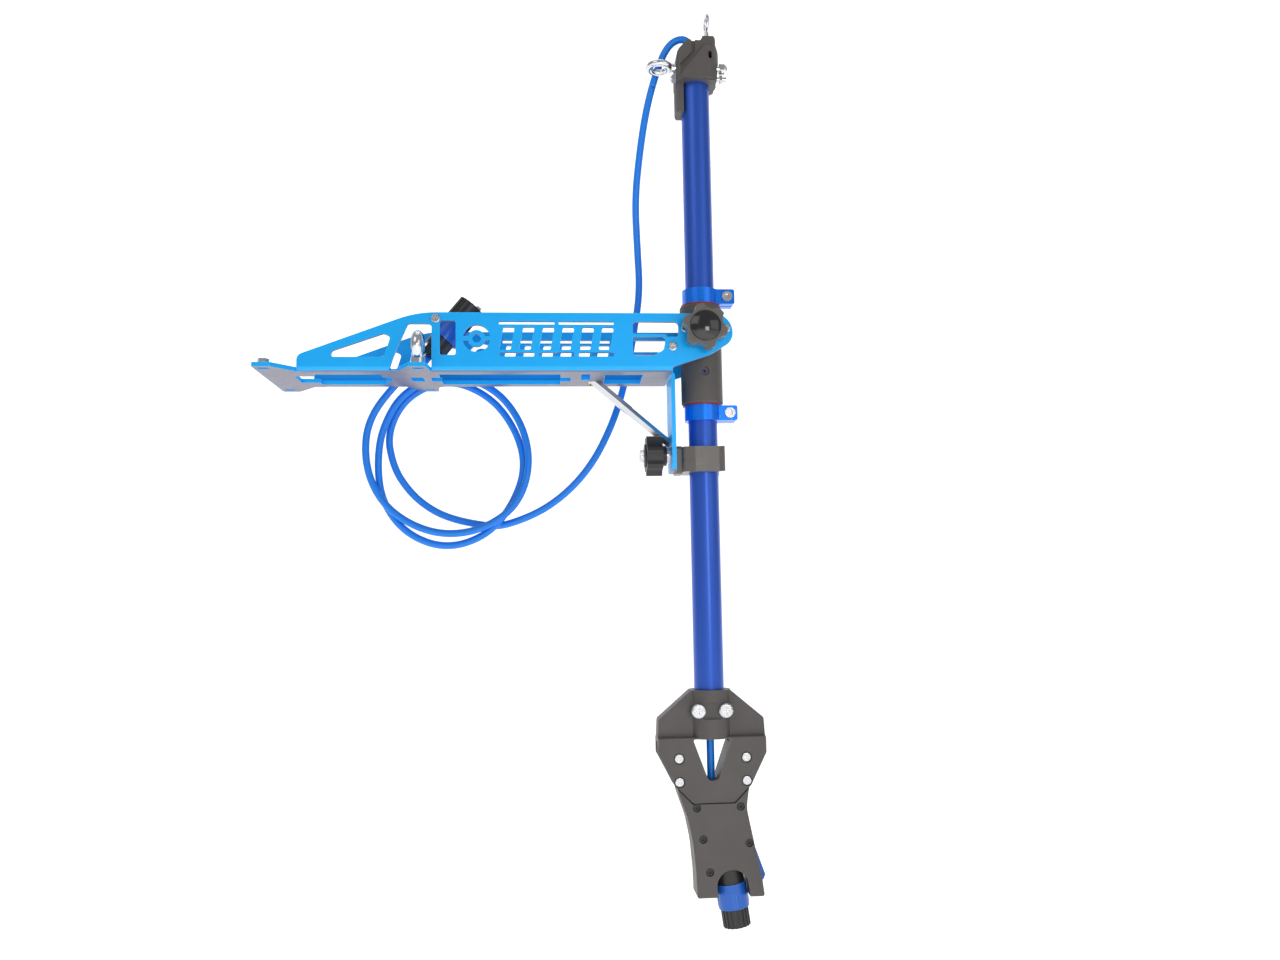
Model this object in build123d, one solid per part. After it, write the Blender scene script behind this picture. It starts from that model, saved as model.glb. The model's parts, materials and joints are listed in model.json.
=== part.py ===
from build123d import *
import math
import os

# Steerable outboard arm for a small electric thruster. All sizes are in millimetres.
# The origin is the centre of the deck bolt pattern, on the underside of the deck plate.
# +X runs aft along the arm to the shaft, +Y across it and +Z up the shaft.

os.makedirs("parts", exist_ok=True)

# ---- driving dimensions -----------------------------------------------------------------
SHEET = 4.0                      # thickness of the folded aluminium sheet
CHANNEL_HALF = 40.0              # from the middle to the outer face of a side plate
CHANNEL_INNER = CHANNEL_HALF - SHEET
CHANNEL_TOP = 56.5
NOSE_X = -43.0                   # front end of the side plates
DECK_PITCH_X = 140.0             # deck slots
DECK_PITCH_Y = 104.0
SLOT_LENGTH = 11.0
SLOT_WIDTH = 6.6
EAR_TIP_Y = 61.0

SHAFT_X = 342.0                  # axis of the shaft tube
PIVOT_X = 338.5                  # axis of the tilt pivot, a little before the tube's own
PIVOT_Z = 39.5
LEG_X = 309.0                    # fore face of the leg
LEG_HALF = 21.0
LEG_BOTTOM = -93.0

TUBE_R = 14.3                    # 1-1/8 inch shaft tube
TUBE_BORE_R = 12.3
TUBE_TOP = 315.5
TUBE_BOTTOM = -346.0
RUNNING = 0.06                   # radial clearance of a running fit
GAP = 0.25                       # clearance between faces of pieces that move past each other

SLEEVE_R = 20.5
SLEEVE_BOTTOM = -26.0
SLEEVE_TOP = 72.7
BUSH_R = 16.4
BUSH_LENGTH = 24.0
WASHER = 1.5
COLLAR_R = 17.8
COLLAR_HEIGHT = 15.0
COLLAR_EAR = 33.5                # reach of a collar's ear from the shaft axis
TRUNNION_R = 9.0
STUD_R = 4.0                     # M8
KNOB_FACE_Y = -60.0              # outer face of the pivot knob's lobes

CAP_BOTTOM = 304.0
CAP_TOP = 347.0
CAP_R = 21.5
EYE_Z = 319.4                    # steering eye bolt across the cap
EYE_Y = -9.5
LIFT_EYE_X = SHAFT_X + 13.5      # lifting eye on the cap's boss

CLIP_BOTTOM = -94.0
CLIP_HEIGHT = 24.5
CLIP_STUD_Z = -76.4
CLIP_BACK = 319.5                # flat back of the clip
CLIP_INNER = TUBE_R + 0.45
CLIP_OUTER = 19.0

CLAMP_TOP = -303.0               # clamp collar of the motor dock
CLAMP_BOTTOM = -348.5
CLAMP_R = 20.3
FORK_HALF = 51.5                 # half the width of the dock's fork
FORK_TONGUE = 7.0                # half the thickness of the tongue between the fork's cheeks
FORK_FACE = 16.0
SHELL_HALF = 17.0                # half the thickness of the dock's shell
SHELL_BOTTOM = -493.5
PLUG_TILT = 8.0                  # lean of the motor plug from the vertical, in degrees
PLUG_X = SHAFT_X + 13.5
PLUG_TOP = -466.0

CABLE_R = 3.65
CABLE_EXIT = 330.0               # where the cable leaves the cap's well
COIL_X = 86.0
COIL_Z = -74.5
COIL_HALF_X = 84.5
COIL_HALF_Z = 91.5
COIL_NEAR = 41.0
COIL_FAR = 63.5


# ---- shapes that repeat -----------------------------------------------------------------
def save(name, *shapes):
    """One STEP file per sub-part; several shapes are separate solids of one sub-part."""
    whole = shapes[0] if len(shapes) == 1 else Compound(children=list(shapes))
    export_step(whole, f"parts/{name}.step")


def box(x0, x1, y0, y1, z0, z1):
    """A block between two corners."""
    middle = ((x0 + x1) / 2, (y0 + y1) / 2, (z0 + z1) / 2)
    return Pos(*middle) * Box(x1 - x0, y1 - y0, z1 - z0)


def rod_x(radius, x0, x1, y, z):
    """A round bar along X."""
    return Pos((x0 + x1) / 2, y, z) * Rot(0, 90, 0) * Cylinder(radius, x1 - x0)


def rod_y(radius, y0, y1, x, z):
    """A round bar along Y."""
    return Pos(x, (y0 + y1) / 2, z) * Rot(90, 0, 0) * Cylinder(radius, y1 - y0)


def rod_z(radius, z0, z1, x=SHAFT_X, y=0.0):
    """A round bar along Z."""
    return Pos(x, y, (z0 + z1) / 2) * Cylinder(radius, z1 - z0)


def outline(corners):
    """A flat face from (a, b, corner radius) points."""
    points = [(a, b) for a, b, _ in corners]
    radii = [radius for _, _, radius in corners]
    return make_face(FilletPolyline(*points, radius=radii, close=True))


def side_shape(corners, y0, y1):
    """A side view, given as (x, z, corner radius), extruded from y0 to y1."""
    return extrude(Plane.XZ.offset(-y1) * outline(corners), y1 - y0)


def top_shape(corners, z0, z1):
    """A top view, given as (x, y, corner radius), extruded from z0 to z1."""
    return extrude(Plane.XY.offset(z0) * outline(corners), z1 - z0)


def slot_shape(x, y, length, width, z0, z1):
    """A round-ended slot along X, cut from z0 to z1."""
    return extrude(Plane.XY.offset(z0) * Pos(x, y) * SlotOverall(length, width), z1 - z0)


def mirrored(shape):
    """The same shape on the other side of the arm's middle plane."""
    return mirror(shape, Plane.XZ)


def lobed(lobes, tip, valley, thickness):
    """A knob's lobed plan: a disc with a shallow hollow between each two lobes, along +Z."""
    hollow_r = tip * 0.45
    body = Cylinder(tip, thickness)
    for i in range(lobes):
        turn = Rot(0, 0, 360 / lobes * (i + 0.5))
        body -= turn * Pos(valley + hollow_r, 0, 0) * Cylinder(hollow_r, thickness)
    body = fillet(body.edges().filter_by(Axis.Z), 2)
    return Pos(0, 0, thickness / 2) * body


def pan_head(radius, height):
    """A pan head with a cross recess, standing on the origin along +Z."""
    head = Pos(0, 0, height / 2) * Cylinder(radius, height)
    head = fillet(head.edges().sort_by(Axis.Z)[-1], height * 0.45)
    recess = Box(radius * 0.95, radius * 0.26, height) + Box(radius * 0.26, radius * 0.95, height)
    return head - Pos(0, 0, height) * recess


def socket_head(radius, height):
    """A cap head with a hexagon socket, standing on the origin along +Z."""
    head = Pos(0, 0, height / 2) * Cylinder(radius, height)
    socket = extrude(Plane.XY.offset(height * 0.4) * RegularPolygon(radius * 0.55, 6), height)
    return head - socket


def hex_nut(across, height, bore_r):
    """A hexagon nut along +Z from the origin."""
    nut = extrude(RegularPolygon(across / math.sqrt(3), 6), height)
    return nut - Pos(0, 0, height / 2) * Cylinder(bore_r, height * 2)


def facing_front(shape, x, y, z):
    """Turns a shape made along +Z to point along -Y at a place."""
    return Pos(x, y, z) * Rot(90, 0, 0) * shape


def facing_back(shape, x, y, z):
    """Turns a shape made along +Z to point along +Y at a place."""
    return Pos(x, y, z) * Rot(-90, 0, 0) * shape


# ---- the folded arm bracket -------------------------------------------------------------
PLATE_OUTLINE = [
    (NOSE_X, 0, 0),
    (NOSE_X, 15.5, 7),
    (67, CHANNEL_TOP, 100),
    (SHAFT_X + 25.5, CHANNEL_TOP, 18),
    (SHAFT_X + 25.5, 30, 13),
    (345, 15.8, 20),
    (LEG_X, 4.2, 0),
    (LEG_X, 0, 0),
]
WINDOWS = [
    [(-13, 13.5, 2.6), (37, 13.5, 3), (43, 33, 3.5), (36.5, 36, 3), (-10.5, 19.5, 2.6)],
    [(41.5, 1, 0), (45.8, 14, 0), (58.8, 45.5, 3.5), (81, 45.5, 3.5), (81, 1, 0)],
    [(88.5, 15.5, 2), (103.5, 15.5, 2), (103.5, 48.5, 2), (88.5, 48.5, 2)],
    [(271, 14.8, 3), (271, 33, 1), (303, 33, 3), (300.5, 20.5, 5), (289, 14.8, 6)],
    [(271, 36, 1), (271, 48, 3), (315, 48, 4), (315, 33.5, 3), (303.5, 33.5, 1), (303, 36, 1)],
]
TRUSS_LEFT = 144.0
TRUSS_RIGHT = 257.0
TRUSS_BAYS = 6
TRUSS_WEB = 4.0
PILOT_X = 123.0
PILOT_Z = 31.5


def truss_windows():
    """The lightening cut-outs of the side plate's middle: dashed rails with a slanted web between."""
    cuts = []
    bay = (TRUSS_RIGHT - TRUSS_LEFT) / TRUSS_BAYS
    for left in (TRUSS_LEFT, TRUSS_LEFT + bay * 3):
        right = left + bay * 3 - TRUSS_WEB
        cuts.append([(left, 45, 0.6), (right, 45, 0.6), (right, 48, 0.6), (left, 48, 0.6)])
    for left in (TRUSS_LEFT, TRUSS_LEFT + bay * 2, TRUSS_LEFT + bay * 4):
        right = left + bay * 2 - TRUSS_WEB
        cuts.append([(left, 14, 1), (right, 14, 1), (right, 18, 1), (left, 18, 1)])
    for i in range(TRUSS_BAYS):
        left = TRUSS_LEFT + bay * i
        right = left + bay - TRUSS_WEB
        cuts.append([(left, 20.5, 1.5), (right - 4, 20.5, 1.5), (right, 42.5, 1.5), (left + 4, 42.5, 1.5)])
    return cuts


def floor_cuts():
    """The openings of the deck plate: three long ones with narrow ends, a slit and a hole."""
    low, high = -1, SHEET + 1
    cuts = [
        box(-50, -30, -15, 15, low, high),
        box(-32, 32, -24, 24, low, high),
        box(30, 39, -9, 9, low, high),
        box(77, 88, -9, 9, low, high),
        box(86, 202, -24, 24, low, high),
        box(200, 212, -9, 9, low, high),
        box(245, 282, -22, 22, low, high),
        box(222, 231, -24, 2, low, high),
        box(58, 70, -9, 9, low, high),
    ]
    for x in (-DECK_PITCH_X / 2, DECK_PITCH_X / 2):
        for y in (-DECK_PITCH_Y / 2, DECK_PITCH_Y / 2):
            cuts.append(slot_shape(x, y, SLOT_LENGTH, SLOT_WIDTH, low, high))
    return cuts


def make_bracket():
    """The channel, its ears and its leg, folded from one sheet."""
    section = outline([
        (-CHANNEL_HALF, 0, 5), (CHANNEL_HALF, 0, 5), (CHANNEL_HALF, CHANNEL_TOP + 10, 0),
        (CHANNEL_INNER, CHANNEL_TOP + 10, 0), (CHANNEL_INNER, SHEET, 1.5),
        (-CHANNEL_INNER, SHEET, 1.5), (-CHANNEL_INNER, CHANNEL_TOP + 10, 0),
        (-CHANNEL_HALF, CHANNEL_TOP + 10, 0),
    ])
    length = SHAFT_X + 30 - NOSE_X
    # Plane.YZ has its normal along +X, its first axis along Y and its second along Z.
    channel = extrude(Plane.YZ.offset(NOSE_X) * section, length)
    channel &= side_shape(PLATE_OUTLINE, -50, 50)
    channel -= box(LEG_X, LEG_X + 80, -CHANNEL_INNER, CHANNEL_INNER, -1, CHANNEL_TOP + 20)
    for cut in WINDOWS + truss_windows():
        channel -= side_shape(cut, -50, 50) - box(-60, 400, -30, 30, -5, 5)
    channel -= rod_y(13, -50, 50, PILOT_X, PILOT_Z) - box(0, 400, -30, 30, -5, 5)
    for side in (-1, 1):
        hub_y = side * 38
        hub = rod_y(8, hub_y - 2, hub_y + 2, PILOT_X, PILOT_Z)
        spoke = box(PILOT_X - 14, PILOT_X + 14, hub_y - 2, hub_y + 2, PILOT_Z - 2, PILOT_Z + 2)
        channel += (hub - rod_y(4.2, -50, 50, PILOT_X, PILOT_Z)) + (spoke - rod_y(7, -50, 50, PILOT_X, PILOT_Z))
    channel -= rod_y(STUD_R + 1, -50, 50, PIVOT_X, PIVOT_Z)

    front = -78.5
    tip = EAR_TIP_Y
    deck = top_shape([
        (front, -tip, 2), (-62, -tip, 2), (NOSE_X + 1, -CHANNEL_HALF + 3, 4), (NOSE_X + 12, -CHANNEL_HALF + 3, 0),
        (NOSE_X + 12, CHANNEL_HALF - 3, 0), (NOSE_X + 1, CHANNEL_HALF - 3, 4), (-62, tip, 2), (front, tip, 2),
    ], 0, SHEET)
    ears = top_shape([
        (48, -34, 0), (50, -CHANNEL_HALF, 3), (62, -tip, 2), (78, -tip, 2), (80, -CHANNEL_HALF, 3), (82, -34, 0),
        (82, 34, 0), (80, CHANNEL_HALF, 3), (78, tip, 2), (62, tip, 2), (50, CHANNEL_HALF, 3), (48, 34, 0),
    ], 0, SHEET)
    leg = side_shape([
        (LEG_X - 20, 0, 0), (LEG_X, 0, 1.5), (LEG_X, LEG_BOTTOM, 0), (LEG_X + SHEET, LEG_BOTTOM, 0),
        (LEG_X + SHEET, SHEET, 5), (LEG_X - 20, SHEET, 0),
    ], -LEG_HALF, LEG_HALF)
    leg -= rod_x(4.2, LEG_X - 5, LEG_X + 10, 0, CLIP_STUD_Z)
    leg = fillet(leg.edges().filter_by(Axis.X).sort_by(Axis.Z)[:2], 6)
    bracket = channel + deck + ears + leg
    for cut in floor_cuts():
        bracket -= cut
    for x, z in (FRONT_SCREW, SPACER):
        bracket -= rod_y(2.1, -50, 50, x, z)
    for x in BLOCK_SCREWS_X:
        bracket -= rod_y(2.1, -50, 50, x, PIVOT_Z + 2)
    bracket -= rod_z(2.1, -1, SHEET + 1, BRACE_SCREW_X, BRACE_Y)
    return bracket - rod_x(2.1, LEG_X - 1, LEG_X + SHEET + 1, BRACE_Y, BRACE_SCREW_Z)


# ---- cross spacer, pivot blocks and brace -----------------------------------------------
FRONT_SCREW = (84.8, 50.2)
SPACER = (309.2, 23.7)
SPACER_R = 3.0
BLOCK_SCREWS_X = [SHAFT_X - 20.8, SHAFT_X + 19.6]
BLOCK_INNER = 27.0


def make_spacer(x, z):
    """A round bar between the side plates, tapped at both ends."""
    bar = rod_y(SPACER_R, -CHANNEL_INNER, CHANNEL_INNER, x, z)
    return bar - rod_y(2.0, -CHANNEL_INNER, CHANNEL_INNER, x, z)


def make_plate_screws():
    """Pan-head screws: one at each end of the spacer and a short one at the front of each plate."""
    screws = []
    for (x, z), tip in ((FRONT_SCREW, -32.5), (SPACER, -24)):
        shank = rod_y(2.0, -CHANNEL_HALF, tip, x, z)
        near = shank + facing_front(pan_head(4.3, 2.4), x, -CHANNEL_HALF, z)
        screws += [near, mirrored(near)]
    return screws


def make_plate_nuts():
    """The nuts of the two short screws, on the inner faces."""
    x, z = FRONT_SCREW
    near = facing_back(hex_nut(7, 3.0, 2.0), x, -CHANNEL_INNER, z)
    return near, mirrored(near)


def make_pivot_block():
    """The near bearing block: a round-ended plate with the trunnion's bore."""
    half = 24.4
    low, high = PIVOT_Z - 12.5, PIVOT_Z + 14.5
    block = side_shape([
        (SHAFT_X - half, low, 11), (SHAFT_X + half, low, 11),
        (SHAFT_X + half, high, 11), (SHAFT_X - half, high, 11),
    ], -CHANNEL_INNER, -BLOCK_INNER)
    block -= rod_y(TRUNNION_R + RUNNING, -40, -20, PIVOT_X, PIVOT_Z)
    for x in BLOCK_SCREWS_X:
        block -= rod_y(2.0, -40, -20, x, PIVOT_Z + 2)
    return block


def make_block_screws():
    """The screws that hold the bearing blocks to the side plates."""
    screws = []
    for x in BLOCK_SCREWS_X:
        z = PIVOT_Z + 2
        near = rod_y(2.0, -CHANNEL_HALF, -29, x, z) + facing_front(pan_head(3.6, 2.0), x, -CHANNEL_HALF, z)
        screws += [near, mirrored(near)]
    return screws


BRACE_TOP = (236.5, 0.0)
BRACE_FOOT = (LEG_X, -62.0)
BRACE_Y = 14.0
BRACE_ACROSS = 8.6
BRACE_SCREW_X = BRACE_TOP[0] - 3.2
BRACE_SCREW_Z = BRACE_FOOT[1] + 1.0
BRACE_JOINT = 0.47               # where the upper bar meets the lower one, along the brace


def hex_bar(start, end, across):
    """A hexagon bar between two points of the side view, in the brace's plane."""
    run = Vector(end[0] - start[0], 0, end[1] - start[1])
    place = Plane(origin=(start[0], BRACE_Y, start[1]), x_dir=(0, 1, 0), z_dir=run)
    return extrude(place * RegularPolygon(across / math.sqrt(3), 6), run.length)


def along_brace(share):
    """A point of the brace's axis, in the side view."""
    return (
        BRACE_TOP[0] + (BRACE_FOOT[0] - BRACE_TOP[0]) * share,
        BRACE_TOP[1] + (BRACE_FOOT[1] - BRACE_TOP[1]) * share,
    )


def make_brace():
    """The two hexagon bars that stay the leg, mitred to the deck plate and to the leg."""
    upper = hex_bar(along_brace(-0.15), along_brace(BRACE_JOINT), BRACE_ACROSS)
    upper -= box(180, 330, -20, 40, 0, 40)
    lower = hex_bar(along_brace(BRACE_JOINT), along_brace(1.15), BRACE_ACROSS - 0.8)
    lower -= box(LEG_X, LEG_X + 40, -20, 40, -120, 40)
    return upper, lower


def make_brace_screws():
    """A brass screw down into the brace's top end and one through the leg into its foot."""
    top = rod_z(2.0, -4, SHEET, BRACE_SCREW_X, BRACE_Y)
    top += Pos(BRACE_SCREW_X, BRACE_Y, SHEET) * pan_head(4.0, 2.4)
    foot = rod_x(2.0, LEG_X - 5, LEG_X + SHEET, BRACE_Y, BRACE_SCREW_Z)
    foot += Pos(LEG_X + SHEET, BRACE_Y, BRACE_SCREW_Z) * Rot(0, 90, 0) * pan_head(4.0, 2.4)
    return top, foot


# ---- what stands on the deck ears -------------------------------------------------------
EYE_RING_R = 9.0
EYE_WIRE_R = 5.4


def make_eye_nut(x, y):
    """A lifting eye with a threaded foot, standing on an ear."""
    ring_z = SHEET + 5 + EYE_RING_R + EYE_WIRE_R - 2
    ring = Pos(x, y, ring_z) * Rot(0, 90, 0) * Torus(EYE_RING_R, EYE_WIRE_R)
    foot = rod_z(6.6, SHEET, SHEET + 6.5, x, y)
    return (ring + foot) - rod_z(3.0, SHEET - 1, SHEET + 4.5, x, y)


def make_ear_nut(x, y):
    """A washer-faced nut over a deck slot."""
    return Pos(x, y, SHEET) * (hex_nut(9.8, 4.6, 3.0) + (Pos(0, 0, 0.5) * Cylinder(6, 1) - Cylinder(3.0, 4)))


# ---- sleeve, bushes and washers ---------------------------------------------------------
def make_sleeve():
    """The swivel sleeve with a trunnion on each side."""
    body = rod_z(SLEEVE_R, SLEEVE_BOTTOM, SLEEVE_TOP)
    body = chamfer(body.edges().filter_by(GeomType.CIRCLE), 1.0)
    trunnions = rod_y(TRUNNION_R, -CHANNEL_INNER + GAP, CHANNEL_INNER - GAP, PIVOT_X, PIVOT_Z)
    body += trunnions
    body -= rod_z(BUSH_R, SLEEVE_BOTTOM - 1, SLEEVE_TOP + 1)
    body -= rod_y(STUD_R + RUNNING, -CHANNEL_INNER, -SLEEVE_R + 1, PIVOT_X, PIVOT_Z)
    body -= rod_y(STUD_R, SLEEVE_R - 1, CHANNEL_INNER, PIVOT_X, PIVOT_Z)
    hole_z = 4.5
    body -= rod_y(1.8, -SLEEVE_R - 1, -10, SHAFT_X, hole_z)
    return body - rod_y(5, -SLEEVE_R - 1, -SLEEVE_R + 2.4, SHAFT_X, hole_z)


def make_bush(z0):
    """A plain bush between the sleeve and the tube."""
    return rod_z(BUSH_R, z0, z0 + BUSH_LENGTH) - rod_z(TUBE_R + RUNNING, z0 - 1, z0 + BUSH_LENGTH + 1)


def make_thrust_washer(z0):
    """A thin red washer between the sleeve and a collar."""
    return rod_z(SLEEVE_R - 1.2, z0, z0 + WASHER) - rod_z(TUBE_R + 0.4, z0 - 1, z0 + WASHER + 1)


# ---- pivot knob and pivot bolt ----------------------------------------------------------
DOME_R = 14.7                    # the knob's cap


def make_pivot_knob():
    """Six-lobed clamping knob, its cap and its stud, in front of the near plate."""
    hub_y = -CHANNEL_HALF - GAP
    head = facing_front(lobed(6, 21.6, 17.2, 12.5), 0, 0, 0)
    head = Pos(PIVOT_X, KNOB_FACE_Y + 12.5, PIVOT_Z) * Rot(0, 16.5, 0) * head
    head += rod_y(10.5, KNOB_FACE_Y + 12.5, hub_y, PIVOT_X, PIVOT_Z)
    head -= rod_y(STUD_R, KNOB_FACE_Y + 4, hub_y + 1, PIVOT_X, PIVOT_Z)
    head -= rod_y(DOME_R, KNOB_FACE_Y - 1, KNOB_FACE_Y + 2, PIVOT_X, PIVOT_Z)
    dome = facing_front(Cylinder(DOME_R, 3), PIVOT_X, KNOB_FACE_Y + 0.5, PIVOT_Z)
    bulge = Pos(PIVOT_X, KNOB_FACE_Y + 23, PIVOT_Z) * Sphere(28.2)
    dome += bulge & rod_y(DOME_R - 0.6, KNOB_FACE_Y - 6, KNOB_FACE_Y - 1, PIVOT_X, PIVOT_Z)
    stud = rod_y(STUD_R, KNOB_FACE_Y + 4, -23.5, PIVOT_X, PIVOT_Z)
    return head, dome, stud


def make_pivot_bolt():
    """The hexagon bolt and washer on the far side."""
    face = CHANNEL_HALF + GAP
    washer = facing_back(Pos(0, 0, 0.8) * (Cylinder(9, 1.6) - Cylinder(STUD_R, 4)), PIVOT_X, face, PIVOT_Z)
    head = facing_back(hex_nut(13, 5.5, 0.5), PIVOT_X, face + 1.6, PIVOT_Z)
    bolt = head + rod_y(STUD_R, 23.5, face + 3, PIVOT_X, PIVOT_Z)
    return washer, bolt


# ---- shaft tube and collars -------------------------------------------------------------
def make_tube():
    """The shaft tube, with the cap's cross screw hole."""
    tube = rod_z(TUBE_R, TUBE_BOTTOM, TUBE_TOP) - rod_z(TUBE_BORE_R, TUBE_BOTTOM - 1, TUBE_TOP + 1)
    return tube - rod_x(2.5, SHAFT_X - 20, SHAFT_X + 20, EYE_Y, CROSS_SCREW_Z)


def make_collar(z0):
    """A split collar with a clamping ear towards +X."""
    z1 = z0 + COLLAR_HEIGHT
    ear = box(SHAFT_X + 10, SHAFT_X + COLLAR_EAR, -9.5, 9.5, z0, z1)
    ear = fillet(ear.edges().filter_by(Axis.Y).sort_by(Axis.X)[-2:], 2)
    ring = rod_z(COLLAR_R, z0, z1) + ear
    ring -= rod_z(TUBE_R, z0 - 1, z1 + 1)
    ring -= box(SHAFT_X + 10, SHAFT_X + 40, -0.9, 0.9, z0 - 1, z1 + 1)
    middle = z0 + COLLAR_HEIGHT / 2
    screw_x = SHAFT_X + 26
    ring -= rod_y(5.3, -10, -7, screw_x, middle)
    ring -= rod_y(3.0, -10, 10, screw_x, middle)
    screw = rod_y(3.0, -7, 9, screw_x, middle) + facing_front(socket_head(5.1, 4.2), screw_x, -7, middle)
    return ring, screw


# ---- steering cap -----------------------------------------------------------------------
CROSS_SCREW_Z = 308.2


def make_cap():
    """The moulded steering cap: socket ring, skirt, lobe, ribs, boss and cable well."""
    x = SHAFT_X
    front = side_shape([
        (x - 20.5, CAP_BOTTOM, 0), (x - 20.5, CAP_BOTTOM + 17, 3), (x - 19.5, CAP_TOP - 12, 9),
        (x - 9, CAP_TOP, 6), (x + 5, CAP_TOP - 1, 3), (x + 6.5, CAP_TOP + 4, 2), (x + 20, CAP_TOP + 4, 3),
        (x + 20, CAP_TOP - 5, 3), (x + 24, CAP_TOP - 10, 3), (x + 24, CAP_BOTTOM + 24, 8), (x + 20.5, CAP_BOTTOM, 0),
    ], -17, 17)
    front &= rod_z(24.5, CAP_BOTTOM, CAP_TOP + 10)
    ring = rod_z(CAP_R, CAP_BOTTOM, CAP_BOTTOM + 14)
    ring = chamfer(ring.edges().sort_by(Axis.Z)[-1], 3)
    rib = [
        (x - 19, CAP_BOTTOM + 1, 1), (x + 5, CAP_TOP - 12, 4), (x + 9, CAP_TOP - 8, 2),
        (x + 21, CAP_TOP - 9, 3), (x + 22.5, CAP_BOTTOM + 22, 6), (x + 19, CAP_BOTTOM + 1, 1),
    ]
    hood = side_shape(rib, -21.5, 21.5) & rod_z(25, CAP_BOTTOM, CAP_TOP)
    cap = front + ring + hood
    skirt = rod_z(CAP_R, CAP_BOTTOM - 30.5, CAP_BOTTOM + 1) & box(x - 40, x - 13, -11, 11, 200, 320)
    cap += skirt
    cap -= rod_z(TUBE_R, CAP_BOTTOM - 40, TUBE_TOP)
    cap -= rod_z(8.5, TUBE_TOP - 1, CAP_TOP + 10)
    cap -= box(x - 30, x, -5, 5, CABLE_EXIT + 7, CAP_TOP + 10)
    # Slanted recess between the lobe and the hood, on both faces.
    recess = side_shape([
        (x - 15, CAP_BOTTOM + 12, 1), (x - 1, CAP_TOP - 13, 1), (x - 1, CAP_TOP + 1, 0.5), (x - 5, CAP_TOP + 1, 0.5),
        (x - 5, CAP_TOP - 14, 1), (x - 17, CAP_BOTTOM + 17, 1),
    ], -30, -14.5)
    cap -= recess + mirrored(recess)
    cap -= side_shape([
        (LIFT_EYE_X - 2, 325, 1.9), (LIFT_EYE_X + 2, 325, 1.9), (LIFT_EYE_X + 2, 333.5, 1.9), (LIFT_EYE_X - 2, 333.5, 1.9),
    ], -30, 0)
    cap -= rod_z(2.2, 336, CAP_TOP + 10, LIFT_EYE_X)
    cap -= rod_x(3.0, x - 40, x + 40, EYE_Y, EYE_Z)
    return cap - rod_x(2.5, x - 40, x + 40, EYE_Y, CROSS_SCREW_Z)


def make_steering_eye():
    """The eye bolt through the cap, with its ring flat, and the acorn nut on its other end."""
    ring_r, wire_r = 10.4, 3.4
    left = SHAFT_X - 24.5
    bolt = rod_x(3.0, left - 4, SHAFT_X + 30, EYE_Y, EYE_Z)
    bolt += rod_x(4.6, left - 0.5, SHAFT_X - 21.5, EYE_Y, EYE_Z)
    bolt += Pos(left - 2.5 - ring_r, EYE_Y, EYE_Z) * Torus(ring_r, wire_r)
    nut = extrude(RegularPolygon(5.9, 6), 4.8)
    nut += (Pos(0, 0, 3.8) * Sphere(4.6)) & (Pos(0, 0, 8.7) * Box(12, 12, 8))
    nut -= Pos(0, 0, 2.9) * Cylinder(3.0, 5.8)
    return bolt, Pos(SHAFT_X + 24.2, EYE_Y, EYE_Z) * Rot(0, 90, 0) * nut


def make_cross_screw():
    """The screw that pins the cap to the tube, and its nut."""
    left = SHAFT_X - 20.5
    screw = rod_x(2.5, left - 5.6, SHAFT_X + 31, EYE_Y, CROSS_SCREW_Z)
    nut = Pos(left - 4.4, EYE_Y, CROSS_SCREW_Z) * Rot(0, 90, 0) * hex_nut(8.2, 4.0, 2.5)
    collar = Pos(SHAFT_X + 24.2, EYE_Y, CROSS_SCREW_Z) * Rot(0, 90, 0) * hex_nut(8.2, 2.4, 2.5)
    return screw, nut, collar


def make_lift_eye():
    """The thin lifting eye screwed down into the cap's boss."""
    ring_r, wire_r = 8.8, 1.7
    top = CAP_TOP + 4
    ring_z = top + 11.5 + ring_r + wire_r
    eye = rod_z(2.2, 336, ring_z - ring_r, LIFT_EYE_X)
    eye += rod_z(4.0, top, top + 1.2, LIFT_EYE_X)
    return eye + Pos(LIFT_EYE_X, 0, ring_z) * Rot(0, 90, 0) * Torus(ring_r, wire_r)


# ---- clip on the leg --------------------------------------------------------------------
CLIP_KNOB_X = 285.0              # fore face of the clip knob's lobes
CLIP_KNOB_LOBES = 15.5           # length of the lobes along the stud


def make_clip():
    """The U-shaped clip that holds the tube upright, open aft."""
    z0, z1 = CLIP_BOTTOM, CLIP_BOTTOM + CLIP_HEIGHT
    x = SHAFT_X
    body = top_shape([
        (CLIP_BACK, -CLIP_OUTER + 2, 4), (x - 11, -CLIP_OUTER, 12), (x + 13.5, -CLIP_OUTER, 0),
        (x + 13.5, CLIP_OUTER, 0), (x - 11, CLIP_OUTER, 12), (CLIP_BACK, CLIP_OUTER - 2, 4),
    ], z0, z1)
    lip = top_shape([
        (x + 11.5, CLIP_OUTER - 0.5, 0), (x + 18.5, CLIP_OUTER + 2.5, 1), (x + 18, CLIP_OUTER - 0.5, 1),
        (x + 13.5, CLIP_INNER, 0), (x + 11.5, CLIP_INNER, 0),
    ], z0, z1)
    body += lip + mirrored(lip)
    body -= rod_z(CLIP_INNER, z0 - 1, z1 + 1)
    body -= box(x, x + 30, -CLIP_INNER, CLIP_INNER, z0 - 1, z1 + 1)
    saddle = box(LEG_X + SHEET, CLIP_BACK, -11, 11, z0 - 1.5, z1 + 1.5)
    saddle = fillet(saddle.edges().filter_by(Axis.X), 3)
    saddle -= rod_x(STUD_R, LEG_X, CLIP_BACK + 1, 0, CLIP_STUD_Z)
    stud = rod_x(STUD_R, CLIP_KNOB_X - 4, CLIP_BACK, 0, CLIP_STUD_Z)
    return body, saddle, stud


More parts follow.
